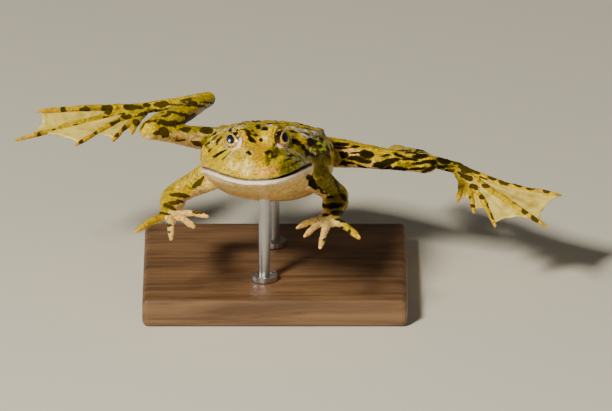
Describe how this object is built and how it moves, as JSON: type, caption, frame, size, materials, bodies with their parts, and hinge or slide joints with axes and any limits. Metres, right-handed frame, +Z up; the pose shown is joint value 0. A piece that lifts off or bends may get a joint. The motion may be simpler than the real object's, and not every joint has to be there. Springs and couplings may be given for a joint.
{
  "type": "green water frog",
  "caption": "Life-size still model of a green water frog floating with spread webbed limbs, held over a flat base by short rods.",
  "frame": {"origin": "centre of the flat underside of the stand's base", "axes": "+Z up, the frog's head faces -Y and its own left side is towards +X, across the widest spread of its feet"},
  "size_m": [0.1524, 0.0947, 0.0617],
  "materials": {
    "skin": "wet smooth skin, yellow-green with black-olive spots and bars",
    "eye": "glossy, gold iris and black pupil",
    "stand_wood": "satin dark hardwood",
    "stand_steel": "satin steel"
  },
  "bodies": {
    "root": {"head": "skin", "lower_jaw": "skin", "torso": "skin", "eye_right": "eye", "upper_arm_right": "skin", "forearm_right": "skin", "hand_right": "skin", "thigh_right": "skin", "shank_right": "skin", "tarsus_right": "skin", "foot_right": "skin", "eye_left": "eye", "upper_arm_left": "skin", "forearm_left": "skin", "hand_left": "skin", "thigh_left": "skin", "shank_left": "skin", "tarsus_left": "skin", "foot_left": "skin", "stand_base": "stand_wood", "stand_rod_front": "stand_steel", "stand_rod_back": "stand_steel"}
  },
  "joints": []
}
